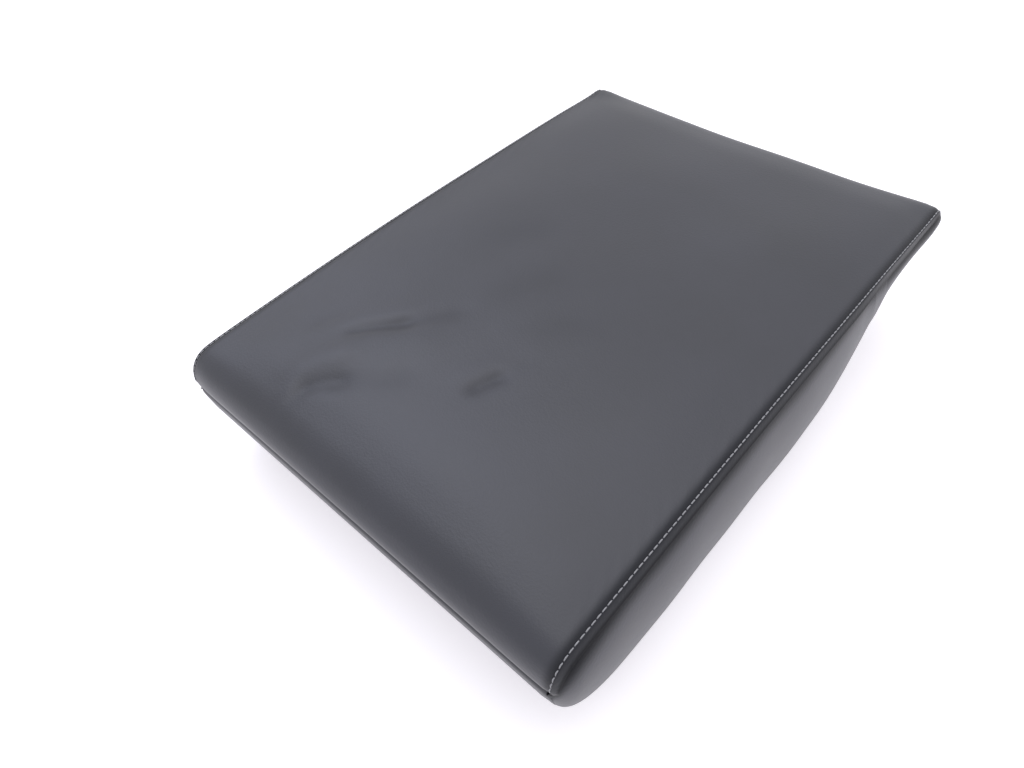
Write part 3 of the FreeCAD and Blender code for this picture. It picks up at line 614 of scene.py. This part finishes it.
# %% Cut the window
cutter = bmesh.new()
cutter.from_mesh(bottom_panel.data)
inside = []
for face in cutter.faces:
    centre = face.calc_center_median() / MM
    in_window = WINDOW_Z[0] < centre.z < WINDOW_Z[1] and abs(centre.x) < WINDOW_X
    if in_window and centre.y > STEP_Y - 3:
        inside.append(face)
bmesh.ops.delete(cutter, geom=inside, context="FACES")
cutter.to_mesh(bottom_panel.data)
cutter.free()
print("faces left: %d, cut out: %d" % (len(bottom_panel.data.polygons), len(inside)))

# %% [markdown]
# ## Leather thickness
# Cover leather is a little over a millimetre thick with its backing. A Solidify modifier gives
# every panel that wall, inwards, so the outer faces stay where the seams are and each panel
# becomes a closed piece.

# %% Thicken the panels and hand them to the frame
LEATHER = 1.2
stands_for = {
    top_panel: ("top_panel", "top_foam"),
    side_panels["right"]: ("right_side_panel",),
    side_panels["left"]: ("left_side_panel",),
    bottom_panel: ("bottom_panel", "lower_foam"),
}
for panel, nodes in stands_for.items():
    wall = panel.modifiers.new("leather wall", "SOLIDIFY")
    wall.thickness = LEATHER * MM
    wall.offset = -1.0
    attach(panel, "armrest")
    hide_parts(*nodes)
    print(panel.name, "stands for", nodes)

# %% [markdown]
# ## Colours and finishes
# Photographs give colours as sRGB hex values, and shaders work in linear light, so one function
# converts them. Another adds a node with its settings and links, and three small ones make the
# groups of nodes that every material here needs.

# %% Functions for colours and nodes
def hex_colour(code):
    """Linear colour from an sRGB hex code."""
    parts = [int(code[i : i + 2], 16) / 255 for i in (1, 3, 5)]
    linear = [v / 12.92 if v <= 0.04045 else ((v + 0.055) / 1.055) ** 2.4 for v in parts]
    return (*linear, 1.0)


def add(tree, kind, links=None, **settings):
    """Adds a node. Settings are properties or input values; links join inputs to sockets."""
    node = tree.nodes.new(kind)
    for name, value in settings.items():
        if hasattr(node, name) and name not in node.inputs:
            setattr(node, name, value)
    for name, value in settings.items():
        if name in node.inputs:
            node.inputs[name].default_value = value
    for name, socket in (links or {}).items():
        tree.links.new(socket, node.inputs[name])
    return node


def new_material(name):
    """A material with its node tree and its Principled shader."""
    material = bpy.data.materials.new(name)
    material.use_nodes = True
    tree = material.node_tree
    return material, tree, tree.nodes["Principled BSDF"]


def two_tone(tree, factor, dark, light):
    """A colour between two hex codes; the first may also be a colour socket."""
    mix = add(tree, "ShaderNodeMix", {"Factor": factor}, data_type="RGBA")
    if isinstance(dark, str):
        mix.inputs[6].default_value = hex_colour(dark)
    else:
        tree.links.new(dark, mix.inputs[6])
    mix.inputs[7].default_value = hex_colour(light)
    return mix.outputs[2]


def between(tree, value, low, high):
    """Spreads a value from 0 to 1 over another range."""
    settings = {"To Min": low, "To Max": high}
    return add(tree, "ShaderNodeMapRange", {"Value": value}, **settings).outputs["Result"]


def times(tree, value, factor):
    """A value multiplied by a number."""
    product = add(tree, "ShaderNodeMath", {0: value}, operation="MULTIPLY")
    product.inputs[1].default_value = factor
    return product.outputs[0]


print("mid grey in linear light: %.3f" % hex_colour("#808080")[0])


# %% [markdown]
# ### Pigmented upholstery leather
# Car leather is split hide with a coat of pigment, pressed with a fine pebble grain. The pigment
# gives an even dark grey, the grain breaks the shine into a soft glow, and handling leaves slow
# patches that are a little smoother. Painted shade along the seams and in the creases darkens it
# and dulls the shine.

# %% Leather material
def make_leather():
    """Grey leather that reads the painted shade of its piece."""
    material, tree, shader = new_material("pigmented_grey_leather")
    place = add(tree, "ShaderNodeTexCoord").outputs["Object"]
    patches = add(tree, "ShaderNodeTexNoise", {"Vector": place},
                  Scale=1 / 0.055, Detail=3.0, Roughness=0.55).outputs["Fac"]
    painted_shade = add(tree, "ShaderNodeAttribute", attribute_name="painted_seam_shade").outputs["Fac"]
    clean = two_tone(tree, patches, "#36373f", "#40414b")
    # Pebbles a little over 1 mm wide, with finer pores inside them
    pebbles = add(tree, "ShaderNodeTexVoronoi", {"Vector": place},
                  Scale=1 / 0.0013, feature="SMOOTH_F1", Smoothness=0.6).outputs["Distance"]
    pores = add(tree, "ShaderNodeTexNoise", {"Vector": place},
                Scale=1 / 0.0006, Detail=2.0).outputs["Fac"]
    grain = add(tree, "ShaderNodeMath", {0: pebbles, 1: pores}, operation="MULTIPLY")
    bump = add(tree, "ShaderNodeBump", {"Height": grain.outputs["Value"]},
               Strength=0.55, Distance=0.0002)
    shader.inputs["IOR"].default_value = 1.5
    # Painted shade: the seam shade value darkens the colour towards #1a1b20 and lowers the shine
    for name, socket in (
        ("Base Color", two_tone(tree, painted_shade, clean, "#1a1b20")),
        ("Specular IOR Level", between(tree, painted_shade, 0.5, 0.12)),
        ("Roughness", between(tree, patches, 0.34, 0.44)),
        ("Normal", bump.outputs["Normal"]),
    ):
        tree.links.new(socket, shader.inputs[name])
    return material


leather = make_leather()
for panel in stands_for:
    panel.data.materials.append(leather)
print("leather on", len(stands_for), "panels")


# %% [markdown]
# ### Polyester thread
# Bonded polyester thread is light grey with a soft sheen, and its plies make it slightly uneven.

# %% Thread material
def make_thread():
    """Light grey thread."""
    material, tree, shader = new_material("bonded_polyester_thread")
    place = add(tree, "ShaderNodeTexCoord").outputs["Object"]
    plies = add(tree, "ShaderNodeTexNoise", {"Vector": place}, Scale=1 / 0.0005, Detail=1.0)
    tint = two_tone(tree, plies.outputs["Fac"], "#8f8f95", "#b9b9bf")
    tree.links.new(tint, shader.inputs["Base Color"])
    shader.inputs["Roughness"].default_value = 0.55
    shader.inputs["IOR"].default_value = 1.5
    return material


thread = make_thread()
print("thread:", thread.name)

# %% [markdown]
# ## Topstitching
# The thread shows as a row of short, slightly arched stitches, a few millimetres long with a
# needle hole between. Something that repeats along a path is what Geometry Nodes do best: we give
# them the stitch line as a curve, and they cut it to the pitch, put one stitch on each point and
# turn it along the seam.

# %% The two stitch lines, as curves on the leather
PITCH = 3.55
# The thread lies this far above the leather, and starts this many rows above the front seam
THREAD_RISE = 0.35
FIRST_ROW = 4
stitch_lines = bpy.data.curves.new("stitch_lines", "CURVE")
stitch_lines.dimensions = "3D"
top_end = int(np.argmax(over_tight[:, 0] > REAR - LIP_R + 1))
for side in (1, -1):
    sewn_rows = slice(FIRST_ROW, top_end)
    points = top_surface(side * (SEAM_X - STITCH_IN), sewn_rows, rise=THREAD_RISE) * MM
    spline = stitch_lines.splines.new("POLY")
    spline.points.add(len(points) - 1)
    for point, place in zip(spline.points, points):
        point.co = (*place, 1)
stitches = bpy.data.objects.new("topstitching", stitch_lines)
bpy.context.scene.collection.objects.link(stitches)
print("stitch lines:", len(stitch_lines.splines))


# %% [markdown]
# The stitch tree: resample the line to the pitch, make one arched stitch from a short curve and a
# thin ring, turn it to the line's direction and realise it. Its sizes are inputs of the group, so
# another seam could use it too.

# %% Geometry Nodes tree for the stitches
STITCH_SIZES = {"Pitch": PITCH, "Stitch Length": 2.55, "Thread Radius": 0.34, "Arch": 0.28}
# The ends of a stitch dip into the needle holes, by this many times the arch
DIP = 1.6


def make_stitch_tree():
    """A group that sews stitches along any curve."""
    tree = bpy.data.node_groups.new("stitches_along_a_seam", "GeometryNodeTree")
    socket = tree.interface.new_socket
    socket("Geometry", in_out="INPUT", socket_type="NodeSocketGeometry")
    for name, size in STITCH_SIZES.items():
        socket(name, in_out="INPUT", socket_type="NodeSocketFloat").default_value = size * MM
    socket("Thread", in_out="INPUT", socket_type="NodeSocketMaterial")
    socket("Geometry", in_out="OUTPUT", socket_type="NodeSocketGeometry")
    given = add(tree, "NodeGroupInput").outputs
    line = add(tree, "GeometryNodeResampleCurve",
               {"Curve": given["Geometry"], "Length": given["Pitch"]}, mode="LENGTH")
    half = times(tree, given["Stitch Length"], 0.5)
    low = times(tree, given["Arch"], -DIP)
    start = add(tree, "ShaderNodeCombineXYZ", {"X": times(tree, half, -1.0), "Z": low})
    crest = add(tree, "ShaderNodeCombineXYZ", {"Z": given["Arch"]})
    end = add(tree, "ShaderNodeCombineXYZ", {"X": half, "Z": low})
    bow = {"Start": start.outputs[0], "Middle": crest.outputs[0], "End": end.outputs[0]}
    stitch = add(tree, "GeometryNodeCurveQuadraticBezier", bow, Resolution=6)
    ring = add(tree, "GeometryNodeCurvePrimitiveCircle",
               {"Radius": given["Thread Radius"]}, Resolution=6)
    body = add(tree, "GeometryNodeCurveToMesh",
               {"Curve": stitch.outputs[0], "Profile Curve": ring.outputs[0]})
    body.inputs["Fill Caps"].default_value = True
    heading = add(tree, "GeometryNodeInputTangent").outputs[0]
    turn = add(tree, "FunctionNodeAlignRotationToVector", {"Vector": heading}, axis="X")
    placed = add(tree, "GeometryNodeInstanceOnPoints", {
        "Points": line.outputs[0], "Instance": body.outputs[0], "Rotation": turn.outputs[0]})
    real = add(tree, "GeometryNodeRealizeInstances", {"Geometry": placed.outputs[0]})
    smooth = add(tree, "GeometryNodeSetShadeSmooth", {"Geometry": real.outputs[0]})
    painted = add(tree, "GeometryNodeSetMaterial",
                  {"Geometry": smooth.outputs[0], "Material": given["Thread"]})
    add(tree, "NodeGroupOutput", {"Geometry": painted.outputs[0]})
    return tree


def as_plain_mesh(piece, name):
    """Turns an object with a Geometry Nodes modifier into a plain mesh object of that name."""
    seen = piece.evaluated_get(bpy.context.evaluated_depsgraph_get())
    mesh = bpy.data.meshes.new_from_object(seen)
    result = bpy.data.objects.new(name, mesh)
    bpy.context.scene.collection.objects.link(result)
    bpy.data.objects.remove(piece)
    return result


sewing = stitches.modifiers.new("sewing", "NODES")
sewing.node_group = make_stitch_tree()
for item in sewing.node_group.interface.items_tree:
    if item.in_out == "INPUT" and item.name == "Thread":
        sewing[item.identifier] = thread
topstitching = as_plain_mesh(stitches, "thread_topstitching")
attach(topstitching, "armrest")
print("stitch faces:", len(topstitching.data.polygons))


# %% [markdown]
# ## Finishes of the hinge and frame
# The steel is dipped in black paint, the fasteners are zinc plated, and the covers are moulded
# plastic. Each gets its own colour, roughness and fine texture, on the CAD nodes themselves.

# %% Materials for the CAD nodes
def plain_finish(name, dark, light, cell_mm, rough, metallic=0.0, depth_mm=0.02):
    """A moulded, painted or plated finish with a fine mottle and a matching bump."""
    material, tree, shader = new_material(name)
    place = add(tree, "ShaderNodeTexCoord").outputs["Object"]
    mottle = add(tree, "ShaderNodeTexNoise", {"Vector": place},
                 Scale=1 / (cell_mm * MM), Detail=3.0).outputs["Fac"]
    bump = add(tree, "ShaderNodeBump", {"Height": mottle}, Strength=0.3, Distance=depth_mm * MM)
    shader.inputs["Metallic"].default_value = metallic
    for name, socket in (
        ("Base Color", two_tone(tree, mottle, dark, light)),
        ("Roughness", between(tree, mottle, rough - 0.06, rough + 0.06)),
        ("Normal", bump.outputs["Normal"]),
    ):
        tree.links.new(socket, shader.inputs[name])
    return material


finishes = {
    "steel_black": plain_finish("dipped_black_steel", "#16171a", "#222327", 2.5, 0.42),
    "steel_zinc": plain_finish("zinc_plated_steel", "#9a9c9e", "#b9bbb9", 3.0, 0.34,
                               metallic=1.0),
    "plastic_black": plain_finish("moulded_polypropylene", "#1b1c1e", "#26272a", 0.7, 0.58,
                                  depth_mm=0.05),
    "bush_plastic": plain_finish("moulded_acetal", "#cfcdc4", "#dedcd4", 1.5, 0.40),
    "rubber_black": plain_finish("moulded_rubber", "#121213", "#1b1b1c", 1.0, 0.75),
    "foam": plain_finish("moulded_seat_foam", "#b7ad8f", "#cfc6a8", 1.8, 0.90, depth_mm=0.3),
}
slot_of = {entry["node"]: entry["material_slot"] for entry in frame["record"]["subparts"]}
for name, node in frame["nodes"].items():
    finish = finishes.get(slot_of[name], leather)
    node.data.materials.clear()
    node.data.materials.append(finish)
print("finishes:", sorted(finishes))

# %% [markdown]
# ## Floor, light and camera
# A white table under soft, even light. The floor is bright enough to burn out to white away from
# the cushion, so only the soft shadow round it shows. The sky is white to the camera and in
# mirrored rays; for all other light it fades towards the horizon. A broad lamp overhead and a cool
# window lamp from the left make the soft shine on the leather.

# %% Which rays see the white background
def background_ray(tree):
    """One for rays from the camera, mirrored or passed on by a surface, and zero for the rest."""
    path = add(tree, "ShaderNodeLightPath").outputs
    direct = add(tree, "ShaderNodeMath",
                 {0: path["Is Camera Ray"], 1: path["Is Glossy Ray"]}, operation="MAXIMUM")
    passed = {0: direct.outputs[0], 1: path["Is Transmission Ray"]}
    return add(tree, "ShaderNodeMath", passed, operation="MAXIMUM").outputs[0]


# %% Floor
TABLE_REACH = 4.0
# The table lies just under the belly
TABLE_Z = -0.0004
# Seen by the camera the table also glows a little, as an overexposed white table does
TABLE_GLOW = 0.55
floor_mesh = bpy.data.meshes.new("white_table")
signs = ((-1, -1), (1, -1), (1, 1), (-1, 1))
corners = [(x * TABLE_REACH, y * TABLE_REACH, TABLE_Z) for x, y in signs]
floor_mesh.from_pydata(corners, [], [(0, 1, 2, 3)])
floor = bpy.data.objects.new("white_table", floor_mesh)
bpy.context.scene.collection.objects.link(floor)
table_white, table_tree, table_shader = new_material("white_table")
table_shader.inputs["Base Color"].default_value = hex_colour("#f4f3f6")
table_shader.inputs["Roughness"].default_value = 0.7
table_shader.inputs["Specular IOR Level"].default_value = 0.2
table_shader.inputs["Emission Color"].default_value = hex_colour("#f6f2fa")
lift = times(table_tree, background_ray(table_tree), TABLE_GLOW)
table_tree.links.new(lift, table_shader.inputs["Emission Strength"])
floor_mesh.materials.append(table_white)
print("table: %.0f m wide" % (2 * TABLE_REACH))

# %% Sky
world = bpy.data.worlds.new("studio")
bpy.context.scene.world = world
world.use_nodes = True
sky = world.node_tree
backdrop = sky.nodes["Background"]
ways = add(sky, "ShaderNodeTexCoord")
height = add(sky, "ShaderNodeSeparateXYZ", {"Vector": ways.outputs["Generated"]})
# How high the fade starts and ends, and how bright the sky is there
fade = {"From Min": 0.12, "From Max": 0.52, "To Min": 0.04, "To Max": 0.82}
glow = add(sky, "ShaderNodeMapRange", {"Value": height.outputs["Z"]}, **fade)
strength = add(sky, "ShaderNodeMix",
               {0: background_ray(sky), 2: glow.outputs["Result"]}, data_type="FLOAT")
strength.inputs[3].default_value = 1.0
sky.links.new(strength.outputs[0], backdrop.inputs["Strength"])
backdrop.inputs["Color"].default_value = hex_colour("#ffffff")
print("sky nodes:", len(sky.nodes))


# %% Lamps
def lamp(name, place, target, power, width, depth):
    """A rectangular lamp that faces a target; lengths in metres, power in watts."""
    light = bpy.data.lights.new(name, "AREA")
    light.shape = "RECTANGLE"
    light.size = width
    light.size_y = depth
    light.energy = power
    holder = bpy.data.objects.new(name, light)
    holder.location = place
    aim = Vector(target) - Vector(place)
    holder.rotation_euler = aim.to_track_quat("-Z", "Y").to_euler()
    bpy.context.scene.collection.objects.link(holder)
    return holder


lamp("ceiling_softbox", (-0.3, 0.3, 2.2), (0, 0, 0), 12, 2.0, 2.0)
window = lamp("cool_window", (-1.02, 0.12, 1.39), (-0.03, -0.09, 0.09), 4.6, 0.90, 1.1)
window.data.color = hex_colour("#dfe6ff")[:3]
bpy.context.scene.view_settings.view_transform = "Standard"
print("lamps:", [light.name for light in bpy.data.lights])

# %% [markdown]
# The photo's camera follows from the straight edges of the cushion's top: where their lines meet
# gives its direction and its lens, and their length in the picture gives its distance.

# %% Camera
camera_data = bpy.data.cameras.new("photo_view")
camera_data.lens = 25.59
camera_data.sensor_width = 36.0
camera = bpy.data.objects.new("photo_view", camera_data)
right = Vector((0.74204, 0.66825, -0.05299))
up = Vector((-0.47563, 0.58056, 0.66085))
backward = Vector((0.47238, -0.46517, 0.74864))
stand = Matrix((right, up, backward)).transposed().to_4x4()
stand.translation = (0.1991, -0.2649, 0.3655)
camera.matrix_world = stand
bpy.context.scene.collection.objects.link(camera)
bpy.context.scene.camera = camera
print("camera height: %.2f m" % stand.translation.z)
